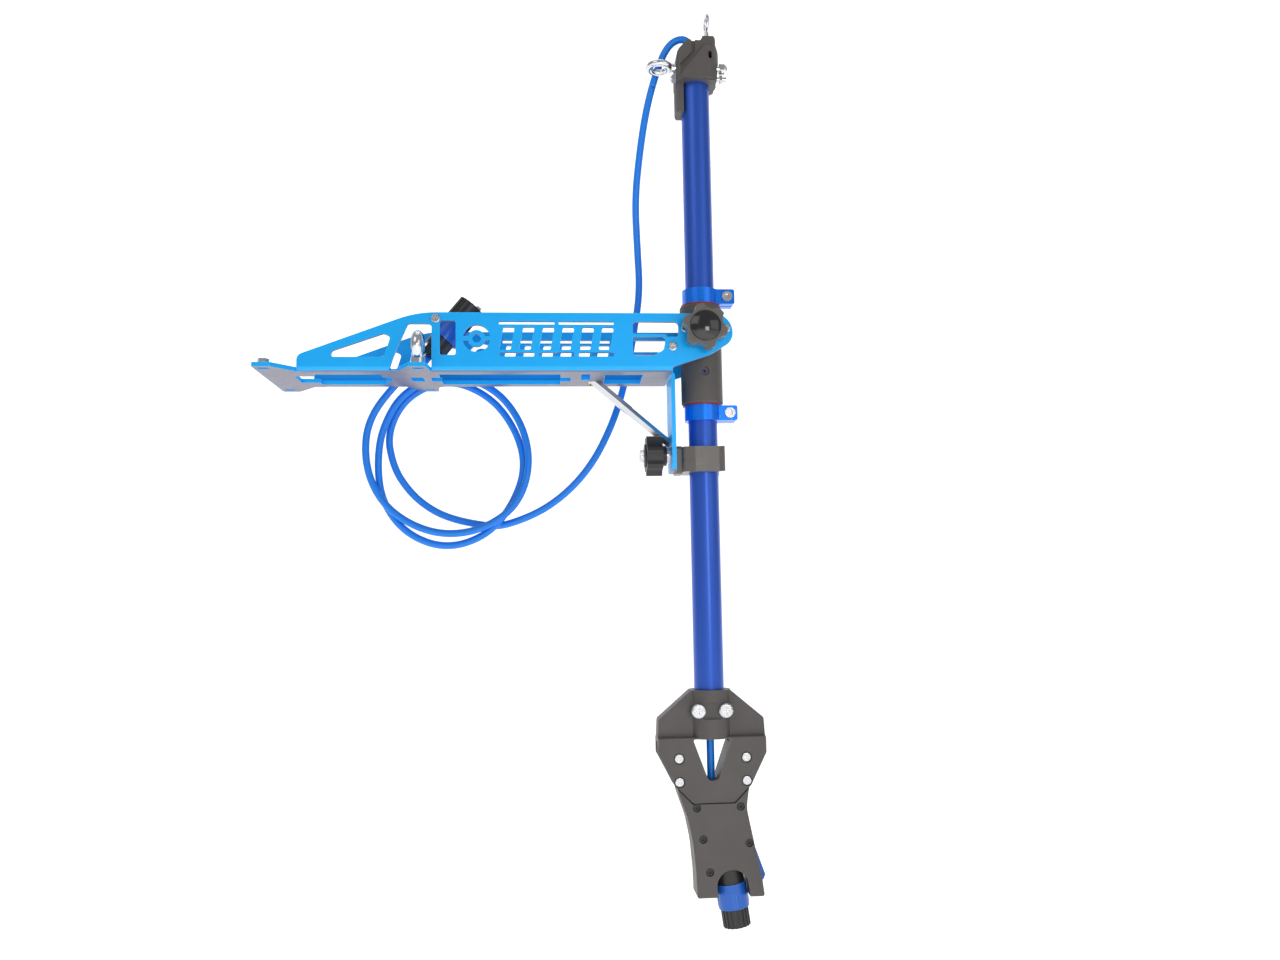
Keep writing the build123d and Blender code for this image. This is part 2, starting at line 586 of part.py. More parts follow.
def make_clip_knob():
    """The lobed knob that clamps the clip to the leg, and the nut that locks it on its stud."""
    x0, x1 = CLIP_KNOB_X, 305.0
    knob = Pos(x0, 0, CLIP_STUD_Z) * Rot(0, 90, 0) * lobed(7, 19.9, 16.4, CLIP_KNOB_LOBES)
    knob += rod_x(10, x0 + 10, x1, 0, CLIP_STUD_Z)
    knob += rod_x(11.5, x0 - 1.6, x0 + 1, 0, CLIP_STUD_Z)
    knob -= rod_x(STUD_R + RUNNING, x0 - 5, x1 + 5, 0, CLIP_STUD_Z)
    washer = rod_x(8.5, x1 + GAP, LEG_X, 0, CLIP_STUD_Z) - rod_x(STUD_R, x1 - 1, LEG_X + 1, 0, CLIP_STUD_Z)
    nut = Pos(x0 - 1.6 - GAP - 4, 0, CLIP_STUD_Z) * Rot(0, 90, 0) * hex_nut(11, 4.0, STUD_R)
    return knob, washer, nut


# ---- motor dock -------------------------------------------------------------------------
FORK_SCREWS = [(-32, -366), (32, -366), (-32, -387.5), (32, -387.5)]
CLAMP_SCREW_Z = -322.0
CLAMP_SCREW_X = 13.0
CLAMP_SCREW_TIP = -10.3
SHELL_SCREWS = [(-16.4, -411.4), (25, -411), (-11, -440), (32.5, -444.5), (-5.5, -470)]
V_WINDOW = [(-18.5, -348.5, 1.5), (18.5, -348.5, 1.5), (4.5, -387, 4.2), (-4.5, -387, 4.2)]
SHELL_OUTLINE = [
    (-36, -384, 0), (-33, -399, 20), (-25, -422, 60), (-20.5, -444, 80), (-18, -472, 60), (-17.5, SHELL_BOTTOM, 2),
    (46, SHELL_BOTTOM, 2), (44, -478, 12), (37.5, -446, 60), (31, -413, 30), (33, -399, 12), (36, -384, 0),
]


def at_shaft(corners):
    """Moves a side view's corners from the shaft axis to their place along the arm."""
    return [(x + SHAFT_X, z, radius) for x, z, radius in corners]


def make_fork_half():
    """The near half of the fork: half the clamp collar, the shoulders and one cheek."""
    upper = side_shape(at_shaft([
        (-18.5, CLAMP_TOP, 1), (18.5, CLAMP_TOP, 1), (50.5, -330, 4), (FORK_HALF, -347, 1), (-FORK_HALF, -347, 1), (-50.5, -330, 4),
    ]), -10, 0)
    cheek = side_shape(at_shaft([
        (-FORK_HALF, -346.5, 2), (FORK_HALF, -346.5, 2), (FORK_HALF, -362, 5), (36, -392, 5),
        (20, -408, 5), (-20, -408, 5), (-36, -392, 5), (-FORK_HALF, -362, 5),
    ]), -FORK_FACE, -FORK_TONGUE)
    cheek = chamfer(cheek.faces().sort_by(Axis.Y)[0].edges(), 1.0)
    web = box(SHAFT_X - FORK_HALF, SHAFT_X + FORK_HALF, -FORK_FACE + 4, 0, -351, -346.5)
    collar = rod_z(CLAMP_R, CLAMP_BOTTOM, CLAMP_TOP) & box(SHAFT_X - 40, SHAFT_X + 40, -40, 0, -400, -300)
    half = upper + collar + web + cheek
    half -= box(SHAFT_X - 40, SHAFT_X + 40, -40, -17.2, -330, -314)
    half -= rod_z(TUBE_R, TUBE_BOTTOM, CLAMP_TOP + 1)
    half -= rod_z(CABLE_R + 2, CLAMP_BOTTOM - 10, TUBE_BOTTOM)
    half -= side_shape(at_shaft(V_WINDOW), -40, 40)
    for x, z in FORK_SCREWS:
        half -= rod_y(1.8, -40, 1, SHAFT_X + x, z)
        half -= rod_y(5.3, -40, -FORK_FACE + 2.2, SHAFT_X + x, z)
    for x in (-CLAMP_SCREW_X, CLAMP_SCREW_X):
        half -= rod_y(2.6, -40, CLAMP_SCREW_TIP, SHAFT_X + x, CLAMP_SCREW_Z)
    return half


def motor_axis(distance):
    """A point of the motor plug's axis, that far below its top end."""
    lean = math.radians(PLUG_TILT)
    return (PLUG_X + distance * math.sin(lean), PLUG_TOP - distance * math.cos(lean))


def on_motor_axis(shape, distance):
    """Places a shape made along +Z so that it runs down the motor plug's axis."""
    x, z = motor_axis(distance)
    return Pos(x, 0, z) * Rot(0, 180 - PLUG_TILT, 0) * shape


def pipe(radius, length, bore=0.0):
    """A round bar or tube along +Z from the origin."""
    bar = Pos(0, 0, length / 2) * Cylinder(radius, length)
    return bar - Pos(0, 0, length / 2) * Cylinder(bore, length * 2) if bore else bar


TRIGGER_PIN = (SHAFT_X + 34.5, -450.0)
SOCKET_R = 14.9


def make_shell_half():
    """The near half of the dock's shell: a tongue between the cheeks and the socket below."""
    tongue = side_shape(at_shaft([
        (-FORK_HALF + 1, -352, 1), (FORK_HALF - 1, -352, 1), (FORK_HALF - 1, -362, 4), (35.5, -391.5, 3),
        (30, -415, 1), (-24, -415, 1), (-35.5, -391.5, 3), (-FORK_HALF + 1, -362, 4),
    ]), -FORK_TONGUE, 0)
    body = side_shape(at_shaft(SHELL_OUTLINE), -SHELL_HALF, 0)
    body = fillet(body.faces().sort_by(Axis.Y)[0].edges(), 2.0)
    body -= side_shape(at_shaft([
        (-FORK_HALF, -340, 0), (FORK_HALF, -340, 0), (FORK_HALF, -362, 0), (36.2, -392.1, 0),
        (20.1, -408.2, 0), (-20.1, -408.2, 0), (-36.2, -392.1, 0), (-FORK_HALF, -362, 0),
    ]), -40, -FORK_TONGUE)
    half = tongue + body
    half -= side_shape(at_shaft(V_WINDOW), -40, 40)
    half -= rod_z(CABLE_R, -400, -380)
    half -= on_motor_axis(pipe(SOCKET_R, 60), -3)
    slot = extrude(Pos(0, 30) * Rectangle(2 * SOCKET_R, 60) + Circle(SOCKET_R), 40)
    x, z = motor_axis(17.5)
    half -= Pos(x, -25, z) * Rot(0, -PLUG_TILT, 0) * Rot(-90, 0, 0) * slot
    half -= side_shape(at_shaft([
        (31, -443, 0), (60, -443, 0), (60, -487, 0), (35.5, -487, 0), (31, -456, 0),
    ]), -4.4, 4.4)
    half -= rod_y(1.5, -12, 1, *TRIGGER_PIN)
    for x, z in FORK_SCREWS:
        half -= rod_y(1.8, -40, 1, SHAFT_X + x, z)
    for x, z in SHELL_SCREWS:
        half -= rod_y(1.5, -40, 1, SHAFT_X + x, z)
        half -= rod_y(3.9, -40, -SHELL_HALF + 4, SHAFT_X + x, z)
    return half


def make_dock_screws():
    """Clamp, fork and shell screws."""
    clamp, fork, shell = [], [], []
    for x in (-CLAMP_SCREW_X, CLAMP_SCREW_X):
        head = facing_front(pan_head(7.0, 4.0), SHAFT_X + x, -17.2, CLAMP_SCREW_Z)
        clamp.append(head + rod_y(2.6, -17.2, CLAMP_SCREW_TIP, SHAFT_X + x, CLAMP_SCREW_Z))
    for x, z in FORK_SCREWS:
        head = facing_front(pan_head(4.4, 2.0), SHAFT_X + x, -FORK_FACE + 2.2, z)
        fork.append(head + rod_y(1.8, -FORK_FACE + 2.2, 12, SHAFT_X + x, z))
    for x, z in SHELL_SCREWS:
        head = facing_front(socket_head(3.3, 2.6), SHAFT_X + x, -SHELL_HALF + 4, z)
        shell.append(head + rod_y(1.5, -SHELL_HALF + 4, 11, SHAFT_X + x, z))
    return clamp, fork, shell


def make_trigger():
    """The release trigger in the shell's aft side, and its pin."""
    lever = side_shape(at_shaft([
        (32.2, -446, 1.5), (38.2, -446, 2), (49, -476.5, 1), (47, -481.5, 1), (43, -480, 2), (38.5, -468, 8), (32.2, -455, 1.5),
    ]), -4.0, 4.0)
    lever -= rod_y(1.5 + RUNNING, -10, 10, *TRIGGER_PIN)
    return lever, rod_y(1.5, -11.9, 11.9, *TRIGGER_PIN)


RING_START = 17.0
RING_LENGTH = 23.0


def ribbed(radius, length, ribs):
    """A nut with ribs along its side, along +Z from the origin."""
    nut = pipe(radius - 0.8, length)
    for i in range(ribs):
        nut += Rot(0, 0, 360 / ribs * i) * Pos(radius - 1.2, 0, length / 2) * Box(2.4, 1.6, length)
    return nut


def make_motor_plug():
    """The plug that the thruster's lead ends in: body, coupling ring and ribbed gland nut."""
    body = on_motor_axis(pipe(13.2, RING_START) + Pos(0, 0, RING_START) * pipe(11.0, RING_LENGTH + GAP), 0)
    ring = pipe(14.4, RING_LENGTH, 11.0 + RUNNING)
    for side in (0, 90, 180, 270):
        ring += Rot(0, 0, side) * Pos(14.2, 0, RING_LENGTH / 2 + 3) * Box(1.6, 3.2, 12)
    ring = on_motor_axis(Pos(0, 0, GAP / 2) * (ring & pipe(14.8, RING_LENGTH - GAP / 2)), RING_START)
    nut_start = RING_START + RING_LENGTH + GAP
    nut = on_motor_axis(ribbed(13.0, 17.0, 18), nut_start)
    return body, ring, nut


# ---- cable ------------------------------------------------------------------------------
# The run leaves the cap's well, bends over its lobe, hangs behind the far side plate and
# curves round into the coil, which hangs on the far deck ear.
CABLE_RUN = [
    (342.0, 0.0, 330.0),
    (342.0, 0.0, 346.5),
    (331.0, 0.0, 358.0),
    (314.5, 3.0, 350.0),
    (302.5, 9.5, 321.0),
    (292.5, 13.0, 284.0),
    (285.5, 18.5, 240.0),
    (280.8, 28.0, 194.0),
    (283.5, 41.0, 148.0),
    (286.3, 51.0, 103.0),
    (279.2, 54.0, 60.0),
    (271.3, 53.5, 15.0),
    (257.0, 52.5, -34.0),
    (231.0, 52.0, -84.0),
    (192.0, 52.0, -121.0),
    (146.0, 52.0, -140.0),
]
CABLE_LEAD = [
    (74.1, 0.0, 22.7),
    (66.0, 0.5, 12.8),
    (58.0, 10.0, 9.6),
    (54.0, 25.5, 10.6),
    (52.0, 41.2, 11.6),
]


def cord_tube(points, name):
    """A round cord along straight runs joined by arcs as large as the runs allow."""
    spots = [Vector(*p) for p in points]
    radii = []
    for before, here, after in zip(spots, spots[1:], spots[2:]):
        first, second = here - before, after - here
        half_turn = math.radians(first.get_angle(second)) / 2
        radii.append(0.45 * min(first.length, second.length) / math.tan(half_turn))
    path = FilletPolyline(*points, radius=radii)
    start = Plane(origin=spots[0], z_dir=spots[1] - spots[0])
    tube = sweep(start * Circle(CABLE_R), path=path)
    section = math.pi * CABLE_R**2
    print(name, "radii", [round(r) for r in radii])
    print(name, "length", round(path.length), "volume share", round(tube.volume / (section * path.length), 4))
    return tube


def make_coil():
    """The outer shape of the hanging coil, which is thin over the ear and fans out below."""
    upright = Plane.XZ.offset(-COIL_FAR)
    outer = extrude(upright * Pos(COIL_X, COIL_Z) * Ellipse(COIL_HALF_X, COIL_HALF_Z), COIL_FAR - COIL_NEAR)
    inner = extrude(upright * Pos(91.5, -66) * Ellipse(63, 70), COIL_FAR - COIL_NEAR)
    over_ear = box(46, 84, COIL_NEAR, COIL_FAR, -60, SHEET + 0.3)
    return outer - inner - over_ear


# ---- battery plug -----------------------------------------------------------------------
BATTERY_TILT = 50.7              # rise of the battery plug's axis from the horizontal, in degrees
BATTERY_TOP = (115.9, 73.8)
BATTERY_CAP = 24.0
BATTERY_RING = 20.0
BATTERY_BODY = 12.0
BATTERY_GLAND = 10.0


def on_battery_axis(shape, distance):
    """Places a shape made along +Z so that it runs down the battery plug's axis."""
    rise = math.radians(BATTERY_TILT)
    x = BATTERY_TOP[0] - distance * math.cos(rise)
    z = BATTERY_TOP[1] - distance * math.sin(rise)
    return Pos(x, 0, z) * Rot(0, 180 + 90 - BATTERY_TILT, 0) * shape


def make_battery_plug():
    """The plug on the cable's end, leaning in the channel: ribbed cap, ring, body and gland."""
    cap = on_battery_axis(ribbed(13.5, BATTERY_CAP - GAP, 18), 0)
    latch = on_battery_axis(Pos(-7, 0, -2.2) * Box(5, 4, 2.2) + Pos(-7, 0, -1.1) * Cylinder(1.6, 2.2), 0)
    ring = on_battery_axis(pipe(14.5, BATTERY_RING - GAP, 10.6 + RUNNING), BATTERY_CAP)
    core = Pos(0, 0, -BATTERY_RING - GAP) * pipe(10.6, BATTERY_RING + GAP) + pipe(12.0, BATTERY_BODY)
    body = on_battery_axis(core, BATTERY_CAP + BATTERY_RING)
    gland = on_battery_axis(ribbed(9.2, BATTERY_GLAND, 12), BATTERY_CAP + BATTERY_RING + BATTERY_BODY)
    return cap, latch, ring, body, gland


# ---- write every sub-part ---------------------------------------------------------------
save("arm_bracket", make_bracket())
save("cross_spacer", make_spacer(*SPACER))
save("plate_screws", *make_plate_screws())
save("plate_nuts", *make_plate_nuts())
near_block = make_pivot_block()
save("near_pivot_block", near_block)
save("far_pivot_block", mirrored(near_block))
save("pivot_block_screws", *make_block_screws())
brace_upper, brace_lower = make_brace()
brace_screw_top, brace_screw_foot = make_brace_screws()
save("brace_upper", brace_upper - brace_screw_top)
save("brace_lower", brace_lower - brace_screw_foot)
save("brace_screws", brace_screw_top, brace_screw_foot)
save("deck_eye_nut", make_eye_nut(DECK_PITCH_X / 2, -DECK_PITCH_Y / 2))
save("deck_nuts", *[make_ear_nut(-DECK_PITCH_X / 2, side * DECK_PITCH_Y / 2) for side in (-1, 1)])

save("swivel_sleeve", make_sleeve())
save("lower_bush", make_bush(SLEEVE_BOTTOM))
save("upper_bush", make_bush(SLEEVE_TOP - BUSH_LENGTH))
save("lower_thrust_washer", make_thrust_washer(SLEEVE_BOTTOM - WASHER))
save("upper_thrust_washer", make_thrust_washer(SLEEVE_TOP))
pivot_washer, pivot_bolt = make_pivot_bolt()
save("pivot_washer", pivot_washer)
save("pivot_bolt", pivot_bolt)
knob_head, knob_dome, knob_stud = make_pivot_knob()
save("pivot_knob", knob_head)
save("pivot_knob_cap", knob_dome)
save("pivot_knob_stud", knob_stud)

save("shaft_tube", make_tube())
lower_collar, lower_collar_screw = make_collar(SLEEVE_BOTTOM - WASHER - GAP - COLLAR_HEIGHT)
upper_collar, upper_collar_screw = make_collar(SLEEVE_TOP + WASHER + GAP)
save("lower_collar", lower_collar)
save("upper_collar", upper_collar)
save("collar_screws", lower_collar_screw, upper_collar_screw)
save("steering_cap", make_cap())
steering_eye, acorn_nut = make_steering_eye()
save("steering_eye_bolt", steering_eye)
save("acorn_nut", acorn_nut)
cross_screw, cross_nut, cross_collar = make_cross_screw()
save("cap_cross_screw", cross_screw)
save("cap_cross_nuts", cross_nut, cross_collar)
save("lift_eye_bolt", make_lift_eye())

clip_body, clip_saddle, clip_stud = make_clip()
save("shaft_clip", clip_body)
save("clip_saddle", clip_saddle)
save("clip_stud", clip_stud)
clip_knob, clip_washer, clip_nut = make_clip_knob()
save("clip_knob", clip_knob)
save("clip_knob_washer", clip_washer)
save("clip_knob_nut", clip_nut)

fork_front = make_fork_half()
save("dock_fork_front", fork_front)
save("dock_fork_back", mirrored(fork_front))
shell_front = make_shell_half()
save("dock_shell_front", shell_front)
save("dock_shell_back", mirrored(make_shell_half()))
clamp_screws, fork_screws, shell_screws = make_dock_screws()
save("dock_clamp_screws", *clamp_screws)
save("dock_fork_screws", *fork_screws)
save("dock_shell_screws", *shell_screws)
trigger, trigger_pin = make_trigger()
save("release_trigger", trigger)
save("trigger_pin", trigger_pin)
plug_body, plug_ring, plug_nut = make_motor_plug()
save("motor_plug_body", plug_body)
save("motor_plug_ring", plug_ring)
save("motor_plug_nut", plug_nut)

save("inner_cable", rod_z(CABLE_R, -400, CABLE_EXIT))
save("cable_run", cord_tube(CABLE_RUN, "run"))
save("cable_coil", make_coil())
save("cable_lead", cord_tube(CABLE_LEAD, "lead"))
battery_cap, battery_latch, battery_ring, battery_body, battery_gland = make_battery_plug()
save("battery_plug_cap", battery_cap)
save("battery_plug_latch", battery_latch)
save("battery_plug_ring", battery_ring)
save("battery_plug_body", battery_body)
save("battery_plug_gland", battery_gland)
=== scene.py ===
import json
import math

import bmesh
import bpy
from mathutils import Matrix, Vector


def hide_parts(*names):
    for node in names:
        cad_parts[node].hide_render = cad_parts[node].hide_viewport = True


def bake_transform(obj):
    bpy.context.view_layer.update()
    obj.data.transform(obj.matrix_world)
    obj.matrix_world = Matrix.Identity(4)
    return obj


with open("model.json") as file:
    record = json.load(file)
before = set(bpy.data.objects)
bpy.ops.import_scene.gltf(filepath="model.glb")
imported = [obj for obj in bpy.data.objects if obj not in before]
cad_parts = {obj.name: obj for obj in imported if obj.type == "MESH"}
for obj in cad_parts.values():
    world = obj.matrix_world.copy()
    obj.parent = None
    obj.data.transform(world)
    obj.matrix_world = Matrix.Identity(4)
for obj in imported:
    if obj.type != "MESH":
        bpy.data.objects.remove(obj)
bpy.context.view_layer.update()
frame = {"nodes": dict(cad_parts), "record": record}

SCENE = bpy.context.scene
MM = 0.001


# ---- camera, lights and backdrop --------------------------------------------------------
CAMERA_PLACE = (0.1924, -1.0441, -0.2144)
CAMERA_YAW = 4.73                # degrees to the right
CAMERA_PITCH = 6.23              # degrees up
CAMERA_ROLL = -0.99
CAMERA_LENS = 30.27              # on a sensor 36 mm wide
FLOOR_Z = -0.78
SWEEP_HALF = 9.0                 # half the width of the backdrop
SWEEP_FRONT = -6.0
SWEEP_BEND = 2.2                 # where the floor begins to curve up
SWEEP_RADIUS = 2.0
SWEEP_TOP = 7.0
SWEEP_STEPS = 12
# Each soft box: its name, place, the point it is aimed at, its size and its power in watts.
SOFT_BOXES = [
    ("key", (-1.3, -2.0, 1.7), (0.2, 0, 0.0), 1.6, 9),
    ("fill", (1.9, -1.8, 0.6), (0.3, 0, -0.1), 1.4, 5),
    ("top", (0.2, 0.3, 2.2), (0.2, 0, 0), 1.6, 6),
    ("low", (0.0, -1.9, -0.6), (0.3, 0, -0.2), 1.2, 1.5),
    ("front", (0.75, -2.1, -0.05), (0.33, 0, 0.0), 0.5, 5),
]
SKY_STRENGTH = 0.34


def make_camera():
    """The camera at the photograph's viewing angle."""
    yaw, pitch, roll = (math.radians(a) for a in (CAMERA_YAW, CAMERA_PITCH, CAMERA_ROLL))
    forward = Vector((math.sin(yaw) * math.cos(pitch), math.cos(yaw) * math.cos(pitch), math.sin(pitch)))
    right = Vector((math.cos(yaw), -math.sin(yaw), 0))
    up = right.cross(forward)
    right, up = right * math.cos(roll) + up * math.sin(roll), up * math.cos(roll) - right * math.sin(roll)
    data = bpy.data.cameras.new("camera")
    data.sensor_width = 36
    data.lens = CAMERA_LENS
    data.clip_start = 0.01
    data.clip_end = 50
    camera = bpy.data.objects.new("camera", data)
    turn = Matrix((right, up, -forward)).transposed().to_4x4()
    camera.matrix_world = Matrix.Translation(CAMERA_PLACE) @ turn
    SCENE.collection.objects.link(camera)
    SCENE.camera = camera


def area_light(name, place, target, size, power):
    """A square soft box aimed at a point."""
    data = bpy.data.lights.new(name, "AREA")
    data.energy = power
    data.size = size
    light = bpy.data.objects.new(name, data)
    light.location = place
    light.rotation_euler = (Vector(target) - Vector(place)).to_track_quat("-Z", "Y").to_euler()
    SCENE.collection.objects.link(light)


def make_sweep():
    """A white paper sweep below and behind the object, faintly lit from within."""
    mesh = bpy.data.meshes.new("sweep")
    profile = [(SWEEP_FRONT, FLOOR_Z), (SWEEP_BEND, FLOOR_Z)]
    for step in range(1, SWEEP_STEPS + 1):
        turn = math.radians(90 * step / SWEEP_STEPS)
        y = SWEEP_BEND + SWEEP_RADIUS * math.sin(turn)
        profile.append((y, FLOOR_Z + SWEEP_RADIUS * (1 - math.cos(turn))))
    profile.append((SWEEP_BEND + SWEEP_RADIUS, SWEEP_TOP))
    made = bmesh.new()
    rows = [[made.verts.new((x, y, z)) for y, z in profile] for x in (-SWEEP_HALF, SWEEP_HALF)]
    for i in range(len(profile) - 1):
        made.faces.new((rows[0][i], rows[1][i], rows[1][i + 1], rows[0][i + 1])).smooth = True
    made.to_mesh(mesh)
    made.free()
    sweep = bpy.data.objects.new("sweep", mesh)
    SCENE.collection.objects.link(sweep)
    paper = bpy.data.materials.new("paper")
    paper.use_nodes = True
    shader = paper.node_tree.nodes["Principled BSDF"]
    shader.inputs["Base Color"].default_value = (0.95, 0.95, 0.95, 1)
    shader.inputs["Roughness"].default_value = 0.9
    shader.inputs["Emission Color"].default_value = (1, 1, 1, 1)
    shader.inputs["Emission Strength"].default_value = 0.62
    mesh.materials.append(paper)


def make_studio():
    """The sweep, the soft boxes and an even sky."""
    make_sweep()
    for soft_box in SOFT_BOXES:
        area_light(*soft_box)
    world = bpy.data.worlds.new("sky")
    world.use_nodes = True
    world.node_tree.nodes["Background"].inputs["Color"].default_value = (1, 1, 1, 1)
    world.node_tree.nodes["Background"].inputs["Strength"].default_value = SKY_STRENGTH
    SCENE.world = world
    SCENE.view_settings.view_transform = "Standard"


make_camera()
make_studio()


# ---- materials --------------------------------------------------------------------------
EDGE_WIDTH = 0.0007              # how far the edge rubbing and painted edge highlight reach from a sharp edge, in metres
WEAR_AND_HIGHLIGHT_SCALE = 220                 # patches of the edge rubbing and painted edge highlight, a metre
PATCH_SCALE = 14                 # patches of colour a metre; those of gloss and relief are finer
DENT_DEPTH = 0.0005


class Shader:
    """A node material that is built up in steps."""

    def __init__(self, name):
        self.material = bpy.data.materials.new(name)
        self.material.use_nodes = True
        self.tree = self.material.node_tree
        self.bsdf = self.tree.nodes["Principled BSDF"]
        self.place = self.add("ShaderNodeTexCoord").outputs["Object"]
        self.shape = self.add("ShaderNodeNewGeometry")

    def add(self, kind, **settings):
        node = self.tree.nodes.new(kind)
        for key, value in settings.items():
            setattr(node, key, value)
        return node

    def link(self, source, target):
        self.tree.links.new(source, target)

    def noise(self, scale, stretch=(1, 1, 1)):
        """Noise of that many features a metre, stretched along the axes."""
        mapping = self.add("ShaderNodeMapping")
        mapping.inputs["Scale"].default_value = stretch
        self.link(self.place, mapping.inputs["Vector"])
        noise = self.add("ShaderNodeTexNoise")
        noise.inputs["Scale"].default_value = scale
        noise.inputs["Detail"].default_value = 3.0
        noise.inputs["Roughness"].default_value = 0.5
        self.link(mapping.outputs["Vector"], noise.inputs["Vector"])
        return noise.outputs["Fac"]

    def spread(self, value, low, high, start=0.3, end=0.7):
        """A value from start to end, turned into one from low to high."""
        node = self.add("ShaderNodeMapRange")
        node.inputs["From Min"].default_value = start
        node.inputs["From Max"].default_value = end
        node.inputs["To Min"].default_value = low
        node.inputs["To Max"].default_value = high
        self.link(value, node.inputs["Value"])
        return node.outputs["Result"]

    def mix(self, share, first, second):
        """A mix of two colours; each is a colour or a socket."""
        node = self.add("ShaderNodeMix", data_type="RGBA")
        self.link(share, node.inputs["Factor"])
        for value, target in ((first, node.inputs["A"]), (second, node.inputs["B"])):
            if isinstance(value, tuple):
                target.default_value = (*value, 1)
            else:
                self.link(value, target)
        return node.outputs["Result"]

    def edges(self):
        """The share of edge rubbing and painted edge highlight, broken up by noise: it is where a rounded
        normal leaves the face's own.
        """
        rounded = self.add("ShaderNodeBevel", samples=3)
        rounded.inputs["Radius"].default_value = EDGE_WIDTH
        likeness = self.add("ShaderNodeVectorMath", operation="DOT_PRODUCT")
        self.link(rounded.outputs["Normal"], likeness.inputs[0])
        self.link(self.shape.outputs["Normal"], likeness.inputs[1])
        worn_and_lit = self.spread(likeness.outputs["Value"], 1, 0, 0.90, 0.99)
        broken = self.spread(self.noise(WEAR_AND_HIGHLIGHT_SCALE), 0.25, 1)
        both = self.add("ShaderNodeMath", operation="MULTIPLY")
        self.link(worn_and_lit, both.inputs[0])
        self.link(broken, both.inputs[1])
        return both.outputs["Value"]

    def bump(self, heights):
        """Bump from (height socket, strength, depth in metres) layers."""
        normal = None
        for height, strength, depth in heights:
            node = self.add("ShaderNodeBump")
            node.inputs["Strength"].default_value = strength
            node.inputs["Distance"].default_value = depth
            self.link(height, node.inputs["Height"])
            if normal is not None:
                self.link(normal, node.inputs["Normal"])
            normal = node.outputs["Normal"]
        self.link(normal, self.bsdf.inputs["Normal"])


def shade(colour, factor):
    """A colour made lighter or darker."""
    return tuple(min(1.0, c * factor) for c in colour)


def surface(name, colour, roughness, edge_wear_and_highlight, metal=0.0, vary=0.1, grain=(900, 0.15, 0.0002),
            stretch=(1, 1, 1), coat=0.0, rough_vary=0.05, painted_underside_shade=None, dents=0.02):
    """A finish with patches, edges lighter from rubbing and a painted highlight, uneven gloss and fine
    relief.

    grain is the features a metre, the strength and the depth of the fine relief; a colour given for downward
    faces is a painted shade and grey reflection on them.
    """
    s = Shader(name)
    base = s.mix(s.spread(s.noise(PATCH_SCALE), 0, 1), shade(colour, 1 - vary), shade(colour, 1 + vary))
    fine = s.noise(grain[0], stretch)
    base = s.mix(s.spread(fine, 0, 0.35), base, shade(colour, 1 - 1.6 * vary))
    # Painted shade: faces which look down are mixed towards a dark grey-blue that stands in for the shade and
    # grey reflection they get.
    if painted_underside_shade is not None:
        facing = s.add("ShaderNodeSeparateXYZ")
        coordinates = s.add("ShaderNodeTexCoord")
        s.link(coordinates.outputs["Normal"], facing.inputs["Vector"])
        base = s.mix(s.spread(facing.outputs["Z"], 1, 0, -0.98, -0.6), base, painted_underside_shade)
    # Sharp edges take the lighter edge colour: rubbing plus a painted highlight.
    base = s.mix(s.edges(), base, edge_wear_and_highlight)
    s.link(base, s.bsdf.inputs["Base Color"])
    gloss = s.noise(PATCH_SCALE * 5, stretch)
    lowest, highest = max(0.03, roughness - rough_vary), roughness + rough_vary
    s.link(s.spread(gloss, lowest, highest), s.bsdf.inputs["Roughness"])
    s.bsdf.inputs["Metallic"].default_value = metal
    s.bsdf.inputs["Coat Weight"].default_value = coat
    s.bsdf.inputs["Coat Roughness"].default_value = 0.12
    s.bump([(fine, grain[1], grain[2]), (s.noise(PATCH_SCALE * 3), dents, DENT_DEPTH)])
    return s.material


